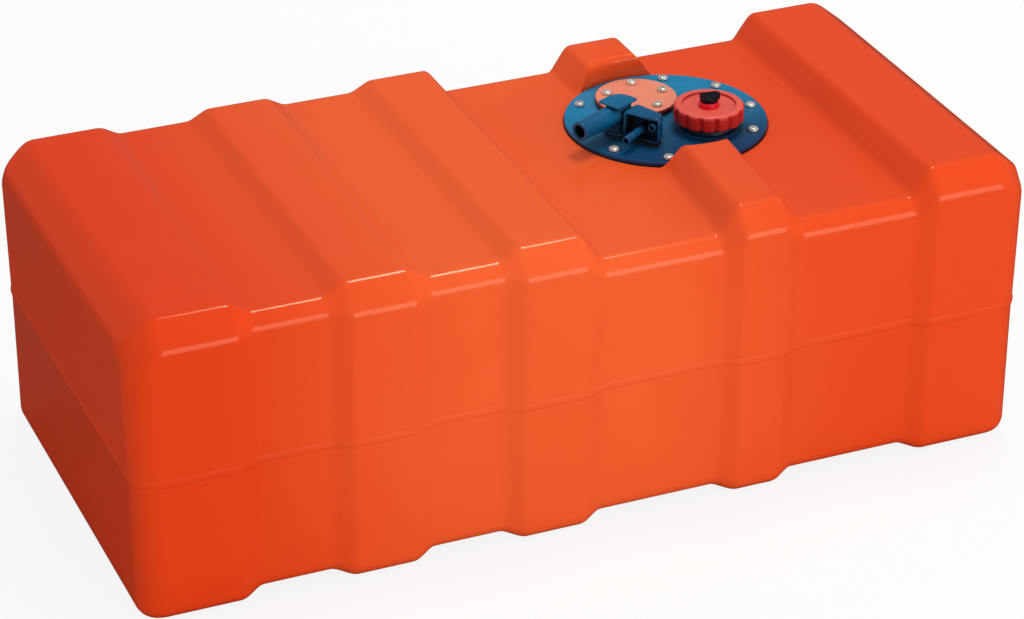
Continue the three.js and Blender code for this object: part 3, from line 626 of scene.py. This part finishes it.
def loft(offset, end_steps, flank_steps, foot_steps, soft_steps):
    """Extrudes one loop through every station."""
    left_end, right_end = [end_stations(side, end_steps, offset) for side in (-1, 1)]
    stations = [*left_end, *flank_stations(flank_steps), *right_end]
    rows = [section_row(s, offset, foot_steps, soft_steps) for s in stations]
    bm = bmesh.new()
    loop = [bm.verts.new(p) for p in rows[0]]
    edges = [bm.edges.new((a, b)) for a, b in zip(loop, loop[1:] + loop[:1])]
    end_wall(bm, loop)
    for row in rows[1:]:
        grown = bmesh.ops.extrude_edge_only(bm, edges=edges)["geom"]
        edges = [g for g in grown if isinstance(g, bmesh.types.BMEdge)]
        following = {}
        fresh = [g for g in grown if isinstance(g, bmesh.types.BMVert)]
        for vert in fresh:
            parent = next(e.other_vert(vert) for e in vert.link_edges if e.other_vert(vert) not in fresh)
            following[parent] = vert
        loop = [following[v] for v in loop]
        for vert, place in zip(loop, row):
            vert.co = place
    end_wall(bm, loop)
    bmesh.ops.recalc_face_normals(bm, faces=bm.faces)
    return bm


# %% Build the shell and cut the seat of the plate
def on_plate(bm):
    return moved(bm, PLATE_X, PLATE_Y, 0)


outside = loft(0.0, 14, 6, 8, 5)
inside = loft(WALL, 5, 2, 3, 2)
ABOVE_ALL, COLLAR = 300, POCKET + 8
collar = on_plate(lathe([
    (0, SEAT - COLLAR_DEPTH), (COLLAR, SEAT - COLLAR_DEPTH), (COLLAR, ABOVE_ALL), (0, ABOVE_ALL),
], 48))
hollow = combined(inside, collar, "DIFFERENCE")
STUB_ROUNDING, STUB_LEAN = 6.0, 1.0
flare_curve = [
    (POCKET + STUB_LEAN + STUB_ROUNDING * (1 - math.cos(math.pi / 2 * i / 6)),
     HEIGHT - STUB_ROUNDING * (1 - math.sin(math.pi / 2 * i / 6)))
    for i in range(7)
]
pocket = on_plate(lathe([
    (0, SEAT), (POCKET, SEAT), *flare_curve, (POCKET + 9, ABOVE_ALL), (0, ABOVE_ALL),
], 128))
opening = on_plate(lathe([(0, 150), (OPENING, 150), (OPENING, 290), (0, 290)], 64))
shell = fused([outside], [hollow, pocket, opening])
tank = piece(shell, "tank_shell", "tank", tank_plastic, ["tank_body"], 32)

# %% [markdown]
# ## Access plate
#
# The plate is a flat moulded disc with a softly rounded rim, and the filler neck stands on a
# low flange near its edge. Both are turned shapes that are fused, and then the neck and the
# hole for the sender are bored through.

# %% The plate and its gasket
CAP_LOW, CAP_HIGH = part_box("filler_cap")
CAP_X, CAP_Y = [(CAP_LOW[k] + CAP_HIGH[k]) / 2 / MM for k in (0, 1)]
COVER_LOW, COVER_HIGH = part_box("sender_cover")
COVER_X, COVER_Y = [(COVER_LOW[k] + COVER_HIGH[k]) / 2 / MM for k in (0, 1)]
NECK_TOP = PLATE_HIGH.z / MM
NECK, NECK_BORE, FLANGE, FLANGE_RISE, SENDER_HOLE = 21.0, 17.0, 26.0, 1.4, 19


def neck_profile():
    """The neck with its flange and the rings of its thread."""
    profile = [(0, PLATE_UNDER - 8), (NECK - 0.6, PLATE_UNDER - 8), (NECK - 0.6, PLATE_TOP - 2)]
    profile += [(FLANGE, PLATE_TOP - 2), (FLANGE, PLATE_TOP + FLANGE_RISE - 0.4)]
    profile += [(FLANGE - 0.6, PLATE_TOP + FLANGE_RISE), (NECK, PLATE_TOP + FLANGE_RISE)]
    for ring in range(2):
        foot = PLATE_TOP + 4.0 + 4.0 * ring
        profile += [(NECK - 0.7, foot), (NECK, foot + 0.8), (NECK, foot + 1.4), (NECK - 0.7, foot + 2.2)]
    return [*profile, (NECK - 0.7, NECK_TOP - 0.5), (NECK - 1.2, NECK_TOP), (0, NECK_TOP)]


disc = on_plate(lathe(
    [(0, PLATE_UNDER), (PLATE_RADIUS, PLATE_UNDER), (PLATE_RADIUS, PLATE_TOP), (0, PLATE_TOP)], 160, 0.9, 3,
))
neck = moved(lathe(neck_profile(), 96), CAP_X, CAP_Y)
bore = moved(lathe([(0, 200), (NECK_BORE, 200), (NECK_BORE, 280), (0, 280)], 96), CAP_X, CAP_Y)
sender_hole = moved(
    lathe([(0, 200), (SENDER_HOLE, 200), (SENDER_HOLE, 280), (0, 280)], 64), COVER_X, COVER_Y,
)
plate = fused([disc, neck], [bore, sender_hole])
piece(plate, "plate_with_neck", "tank", plate_plastic, ["access_plate"])
gasket = on_plate(lathe([
    (OPENING, SEAT + 0.3), (PLATE_RADIUS - 0.9, SEAT + 0.3), (PLATE_RADIUS - 0.9, PLATE_UNDER - 0.3),
    (OPENING, PLATE_UNDER - 0.3), (OPENING, SEAT + 0.3),
], 128))
piece(gasket, "plate_gasket", "tank", rubber, ["access_plate_gasket"])

# %% [markdown]
# ## Screws
#
# The screws are stainless pan heads with a six-sided socket. The head is turned, and the
# corners of the innermost ring are drawn out to a hexagon before the socket is sunk. Each
# screw is turned at the origin to the size of its own box, then given a turn and moved there.

# %% Turn the screws
def socket_screw(length, head_radius, head_height, thread_radius=2.4, socket=2.0, sunk=1.7):
    """A pan head on a shank, with the underside of the head at zero."""
    dome = [
        (head_radius * math.cos(a) ** 0.55, head_height * (0.35 + 0.65 * math.sin(a)))
        for a in [math.radians(d) for d in (0, 12, 25, 38, 50, 60)]
    ]
    profile = [(0, -length), (thread_radius - 0.5, -length)]
    profile += [(thread_radius, -length + 0.6), (thread_radius, 0)]
    profile += [(head_radius - 0.25, 0), (head_radius, 0.3), *dome, (socket, head_height)]
    profile += [(socket - 0.01, head_height - sunk), (0, head_height - sunk - 0.5)]
    bm = lathe(profile, 24)
    for vert in bm.verts:
        radius, angle = math.hypot(vert.co.x, vert.co.y), math.atan2(vert.co.y, vert.co.x)
        if abs(radius - socket * MM) < 0.02 * MM and vert.co.z > 0:
            spread = math.cos(math.pi / 6) / math.cos((angle % (math.pi / 3)) - math.pi / 6)
            vert.co.x, vert.co.y = vert.co.x * spread, vert.co.y * spread
    return bm


def place_screws(names, head_height):
    """Sets one screw at each CAD screw's own box."""
    for name in names:
        low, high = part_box(name)
        length = (high.z - low.z) / MM - head_height
        screw = socket_screw(length, (high.x - low.x) / 2 / MM, head_height)
        x, y = [(low[k] + high[k]) / 2 / MM for k in (0, 1)]
        turned(screw, sum(map(ord, name)) * 37 % 60)
        moved(screw, x, y, high.z / MM - head_height)
        piece(screw, name + "_turned", "tank", steel, [name])


SCREWS = [name for name in frame["nodes"] if "_screw_" in name]
place_screws(SCREWS, 2.8)

# %% [markdown]
# ## Cover of the sender hole
#
# This is a plain moulded disc on a thin gasket. Its place for a label stays bare.

# %% The cover and its gasket
cover_radius = (COVER_HIGH.x - COVER_LOW.x) / 2 / MM
under, top = COVER_LOW.z / MM, COVER_HIGH.z / MM
cover = moved(
    lathe([(0, under), (cover_radius, under), (cover_radius, top), (0, top)], 128, 0.7, 3), COVER_X, COVER_Y,
)
piece(cover, "sender_cover_disc", "tank", cover_plastic, ["sender_cover"])
under, top = [corner.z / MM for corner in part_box("sender_cover_gasket")]
rim = cover_radius - 0.9
ring = moved(lathe([
    (SENDER_HOLE, under), (rim, under), (rim, top), (SENDER_HOLE, top), (SENDER_HOLE, under),
], 96), COVER_X, COVER_Y)
piece(ring, "sender_gasket", "tank", rubber, ["sender_cover_gasket"])

# %% [markdown]
# ## Filler cap
#
# The cap is turned first: a skirt, a raised rim round the top, and a dish inside the rim that
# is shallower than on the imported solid. Then fourteen finger grooves are pressed into the
# skirt by drawing its points inwards.
# The grooves fade out below the top edge, so the edge itself stays a full circle.

# %% The cap and its grooves
CAP_RADIUS = (CAP_HIGH.x - CAP_LOW.x) / 2 / MM
CAP_TOP, CAP_FOOT = PLATE_TOP + 20.5, CAP_LOW.z / MM
GROOVES, GROOVE_DEPTH, GROOVE_SHARE = 14, 2.4, 0.5
GROOVE_TOP, GROOVE_RUNOUT = 0.6, 3.2
CAP_RIM, CAP_SINK, CAP_DISH, CAP_WALL, SHOULDER = 6.8, 1.8, 0.7, 2.6, 3.0


def groove_depth(angle):
    """How deep the skirt is pressed in at an angle round the cap."""
    pitch = math.tau / GROOVES
    off = abs((angle + pitch / 2) % pitch - pitch / 2) / (pitch * GROOVE_SHARE / 2)
    return GROOVE_DEPTH * (0.5 + 0.5 * math.cos(math.pi * min(off, 1)))


def cap_profile():
    rim_in, middle = CAP_RADIUS - CAP_RIM, CAP_TOP - CAP_SINK - CAP_DISH
    inner = NECK + 0.6
    edge = [
        (CAP_RADIUS - SHOULDER * (1 - math.cos(a)), CAP_TOP - SHOULDER * (1 - math.sin(a)))
        for a in [math.radians(d) for d in (0, 15, 30, 45, 60, 75, 90)]
    ]
    return [
        (0, middle - CAP_WALL), (inner, middle - CAP_WALL), (inner, CAP_FOOT), (CAP_RADIUS - 1.2, CAP_FOOT),
        (CAP_RADIUS - 0.2, CAP_FOOT + 0.9), (CAP_RADIUS, CAP_FOOT + 2),
        (CAP_RADIUS, CAP_TOP - SHOULDER - 1.5), *edge,
        (rim_in + 0.5, CAP_TOP), (rim_in, CAP_TOP - 0.4), (rim_in - 0.3, CAP_TOP - CAP_SINK), (0, middle),
    ]


cap = lathe(cap_profile(), 240)
for vert in cap.verts:
    radius = math.hypot(vert.co.x, vert.co.y) / MM
    if radius > CAP_RADIUS - SHOULDER:
        fading = min(max((CAP_TOP - GROOVE_TOP - vert.co.z / MM) / GROOVE_RUNOUT, 0), 1)
        pressed = groove_depth(math.atan2(vert.co.y, vert.co.x)) * fading
        vert.co.x *= (radius - pressed) / radius
        vert.co.y *= (radius - pressed) / radius
moved(cap, CAP_X, CAP_Y)
piece(cap, "filler_cap_grooved", "filler_cap", cap_plastic, ["filler_cap"])

# %% The vent boss on the cap
DISH_LEVEL = CAP_TOP - CAP_SINK - CAP_DISH
BOSS_TOP = CAP_TOP + 2.1
boss = lathe([
    (4.6, DISH_LEVEL - 0.8), (8.6, DISH_LEVEL - 0.8), (8.3, DISH_LEVEL + 0.9), (8.0, BOSS_TOP - 0.6),
    (7.5, BOSS_TOP), (4.6, BOSS_TOP), (4.6, DISH_LEVEL - 0.8),
], 64, 0.25, 2)
piece(moved(boss, CAP_X, CAP_Y), "vent_boss", "filler_cap", boss_plastic)

# %% [markdown]
# ## Vent knob
#
# The knob is a short drum with a thumb wing to one side. Drum and wing are fused and then
# melted together, so the wing grows out of the drum with a fillet as in the real moulding.

# %% Shape the knob
KNOB_LOW, KNOB_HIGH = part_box("vent_knob")


def stadium(half_width, reach, back_reach, steps=10):
    """Corners of a bar with round ends, from the back reach to the front reach."""
    front = [(reach - half_width + half_width * math.sin(a), -half_width * math.cos(a))
             for a in [math.pi * i / steps for i in range(steps + 1)]]
    rear = [(-back_reach, half_width), (-back_reach, -half_width)]
    return front + rear


knob_base = KNOB_LOW.z / MM
DRUM, WING_HALF_WIDTH, WING_FRONT, WING_BACK = 7.2, 4.3, 9.5, 6.6
drum = lathe([
    (0, knob_base), (DRUM - 0.3, knob_base), (DRUM, knob_base + 0.5), (DRUM, knob_base + 3.0),
    (DRUM - 0.6, knob_base + 3.6), (0, knob_base + 3.8),
], 48)
wing = prism(stadium(WING_HALF_WIDTH, WING_FRONT, WING_BACK), knob_base + 1.2, KNOB_HIGH.z / MM)
knob = melted(fused([drum, wing]), 0.28, 4)
moved(knob, CAP_X, CAP_Y)
piece(knob, "vent_knob_winged", "vent_knob", knob_plastic, ["vent_knob"], 60)

# %% [markdown]
# ## Vent elbow
#
# A round column rises from the plate and a spout leaves it sideways. The spout narrows
# towards its mouth, where a bead keeps the hose on. The lid on top is a thin square
# moulding, and one of its corners behind the spout is round.

# %% Fuse the elbow and its spout
SPOUT_HEADING, SPOUT_REACH, SPOUT_AXIS = 205.5, 50.0, 18.4
ELBOW_X, ELBOW_Y = PLATE_X - 45.6, PLATE_Y - 10.0
LID_LOW, LID_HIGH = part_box("vent_elbow_lid")
FOOT_LEVEL = 1.6
column = lathe([
    (0, -14), (7, -14), (7, FOOT_LEVEL), (12, FOOT_LEVEL), (12, FOOT_LEVEL + 2.5), (9.2, FOOT_LEVEL + 2.9),
    (9.2, 27.7), (0, 27.7),
], 64)
spout = laid(lathe([
    (0, 0), (9, 0), (7.6, SPOUT_REACH - 5), (8.1, SPOUT_REACH - 3.6), (8.1, SPOUT_REACH - 0.7),
    (7.6, SPOUT_REACH), (0, SPOUT_REACH),
], 64), SPOUT_HEADING)
drain = lathe([(0, -20), (4.6, -20), (4.6, SPOUT_AXIS), (0, SPOUT_AXIS)], 32)
air_way = laid(lathe([(0, 0), (5.4, 0), (5.4, SPOUT_REACH + 4), (0, SPOUT_REACH + 4)], 48), SPOUT_HEADING)
elbow = fused([column, moved(spout, z=SPOUT_AXIS)], [drain, moved(air_way, z=SPOUT_AXIS)])
elbow = moved(melted(elbow, 0.42, 5), ELBOW_X, ELBOW_Y, PLATE_TOP)
piece(elbow, "vent_elbow_moulded", "tank", plate_plastic, ["vent_elbow"], 60)

# %% The lid
def round_corner(corner, towards_before, towards_after, reach, steps=8):
    """Points of a curve from one side of a corner to the other."""
    return rounded(corner + towards_before * reach, corner, corner + towards_after * reach, steps)


AHEAD, ACROSS = Vector((1, 0)), Vector((0, 1))
lid_outline = [
    *round_corner(Vector((15, -10.3)), -AHEAD, ACROSS, 1.6),
    *round_corner(Vector((15, 10.3)), -ACROSS, -AHEAD, 1.6),
    *round_corner(Vector((-9.6, 10.3)), AHEAD, -ACROSS, 1.6),
    *round_corner(Vector((-9.6, -10.3)), ACROSS, AHEAD, 14, 20),
]
lid = prism(lid_outline, LID_LOW.z / MM, LID_HIGH.z / MM)
soften(lid, 0.6, 3, 60)
piece(
    moved(turned(lid, SPOUT_HEADING), ELBOW_X, ELBOW_Y), "vent_elbow_lid_soft", "tank",
    plate_plastic, ["vent_elbow_lid"],
)

# %% [markdown]
# ## Outlet housing
#
# A hood shelters two hose barbs, one longer than the other. It is a box with a wedge-shaped
# plan, well rounded edges and an open face, fused with a shank below and the barbs inside.
# The corner that would run into the elbow is cut away with some room to spare.

# %% Fuse the hood and its barbs
OUTLET_X, OUTLET_Y, OUTLET_TURN = PLATE_X - 40.1, PLATE_Y - 35.9, -54
HALF, DEEP_SIDE, SHALLOW_SIDE, ROOF = 18.0, 21.0, 15.0, 25.6
MOUTH_DEPTH, MOUTH_LEFT, HOOD_WALL = 12.0, 13.0, 2.2


def barb(reach, rings):
    """A hose barb along Z with saw-tooth rings."""
    profile = [(0, -12), (3.6, -12)]
    for ring in range(rings, 0, -1):
        foot = reach - 3.6 * ring
        profile += [(3.1, foot), (3.8, foot + 0.2), (3.1, foot + 3.2)]
    return lathe([*profile, (2.9, reach), (0, reach)], 40)


plan = [(-HALF, 0), (HALF, 0), (HALF - 4, SHALLOW_SIDE), (-HALF + 4, DEEP_SIDE)]
hood = prism(plan, FOOT_LEVEL, ROOF)
HOOD_ROUNDING = 4.5
soften(hood, HOOD_ROUNDING, 5, 30)
mouth = prism(
    [(-MOUTH_LEFT, -2), (HALF - HOOD_WALL, -2), (HALF - HOOD_WALL, MOUTH_DEPTH), (-MOUTH_LEFT, MOUTH_DEPTH)],
    FOOT_LEVEL + 2.5, ROOF - HOOD_WALL,
)
shank = moved(lathe([(0, -14), (7, -14), (7, 4), (0, 4)], 48), y=10)
BARBS = [(0, 12, 22, 3), (11, 17, 0.5, 2)]
barbs = [moved(laid(barb(reach, rings), -90), x, 0, z) for x, z, reach, rings in BARBS]
bores = [
    moved(laid(lathe([(0, -12), (2.1, -12), (2.1, 40), (0, 40)], 24), -90), x, 0, z) for x, z, _, _ in BARBS
]
hood = fused([combined(hood, mouth, "DIFFERENCE"), shank, *barbs], bores)
hood = turned(hood, OUTLET_TURN)
hood = moved(hood, OUTLET_X, OUTLET_Y, PLATE_TOP)
room = fused([
    lathe([(0, -2), (12.4, -2), (12.4, 4.4), (9.6, 4.5), (9.6, 40), (0, 40)], 64),
    moved(laid(lathe([(0, 0), (9.4, 0), (9.4, 52), (0, 52)], 64), SPOUT_HEADING), z=SPOUT_AXIS),
])
hood = combined(hood, moved(room, ELBOW_X, ELBOW_Y, PLATE_TOP), "DIFFERENCE")
piece(melted(hood, 0.45, 4), "outlet_hood", "tank", plate_plastic, ["outlet_housing"], 60)

# %% [markdown]
# ## Finish of the pieces that stay
#
# The nuts, inserts, seals, pickup and vent plug are hardly seen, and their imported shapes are
# right. They only get their material. A CAD object is never changed in any other way.

# %% Give the kept nodes their materials
FINISH_OF_SLOT = {
    "tank_plastic": tank_plastic, "plate_plastic": plate_plastic, "cap_plastic": cap_plastic,
    "knob_plastic": knob_plastic, "gasket_rubber": rubber, "screw_steel": steel,
    "insert_brass": brass, "nut_nylon": nylon,
}
for part in frame["record"]["subparts"]:
    kept_node = frame["nodes"][part["node"]]
    kept_node.data.materials.clear()
    kept_node.data.materials.append(FINISH_OF_SLOT[part["material_slot"]])

# %% [markdown]
# ## Floor, sky and lamps
#
# The tank stands on a pale floor in front of plain white. The floor takes the shadow, and
# the Light Path node adds a glow that only the camera sees. Reflections see a dark floor and a
# dim sky, because the orange shell in the picture hardly mirrors its surroundings. One lamp
# hangs overhead, and a broader one stands to the front right. Their reflections draw the thin bright lines
# along the chamfers. Both lamps are a little warm, so these lines turn peach.

# %% Stage
floor_bm = bmesh.new()
bmesh.ops.create_grid(floor_bm, x_segments=1, y_segments=1, size=12)
floor = mesh_object(floor_bm, "floor")
floor_paint = Paint("floor_white", Roughness=0.9)
path = floor_paint.node("ShaderNodeLightPath", output="Is Camera Ray")
mirrored = floor_paint.node("ShaderNodeLightPath", output="Is Glossy Ray")
FLOOR_LIT, FLOOR_MIRRORED, FLOOR_GLOW = 0.85, 0.03, 0.86
lit, dim = [rgb(level, level, level) for level in (FLOOR_LIT, FLOOR_MIRRORED)]
bounce = floor_paint.mixed(mirrored, lit, dim)
floor_paint.feed(Base_Color=floor_paint.mixed(path, bounce, lit))
glow = floor_paint.tree.nodes.new("ShaderNodeEmission")
blend = floor_paint.tree.nodes.new("ShaderNodeMixShader")
output = floor_paint.tree.nodes["Material Output"]
floor_paint.tree.links.new((path * FLOOR_GLOW).socket, blend.inputs[0])
floor_paint.tree.links.new(floor_paint.shader.outputs[0], blend.inputs[1])
floor_paint.tree.links.new(glow.outputs[0], blend.inputs[2])
floor_paint.tree.links.new(blend.outputs[0], output.inputs[0])
floor.data.materials.append(floor_paint.material)

world = bpy.data.worlds.new("world")
scene.world = world
world.use_nodes = True
sky = world.node_tree
rays = sky.nodes.new("ShaderNodeLightPath")
SKY_FILL = 0.73
SKY_STRENGTHS = {"Is Camera Ray": 1.0, "Is Transmission Ray": 1.0, "Is Glossy Ray": 0.14}
strength = None
for ray, level in SKY_STRENGTHS.items():
    choice = sky.nodes.new("ShaderNodeMix")
    sky.links.new(rays.outputs[ray], choice.inputs[0])
    choice.inputs[3].default_value = level
    if strength is None:
        choice.inputs[2].default_value = SKY_FILL
    else:
        sky.links.new(strength, choice.inputs[2])
    strength = choice.outputs[0]
sky.nodes["Background"].inputs["Color"].default_value = rgb(1, 1, 1)
sky.links.new(strength, sky.nodes["Background"].inputs["Strength"])


def lamp(name, place, target, size, power, tint):
    data = bpy.data.lights.new(name, "AREA")
    data.shape, data.size, data.size_y, data.energy = "RECTANGLE", size[0], size[1], power
    data.color = tint
    obj = bpy.data.objects.new(name, data)
    obj.location = place
    obj.rotation_euler = (Vector(target) - Vector(place)).to_track_quat("-Z", "Y").to_euler()
    scene.collection.objects.link(obj)
    return obj


lamp("lamp_overhead", (0.55, 0.3, 2.3), (0.0, 0.0, 0.15), (0.6, 0.5), 16.5, (1.0, 0.93, 0.68))
lamp("lamp_front", (0.9, -2.6, 0.9), (0.0, 0.0, 0.12), (2.0, 1.6), 28, (1.0, 0.94, 0.72))
scene.view_settings.view_transform = "Standard"
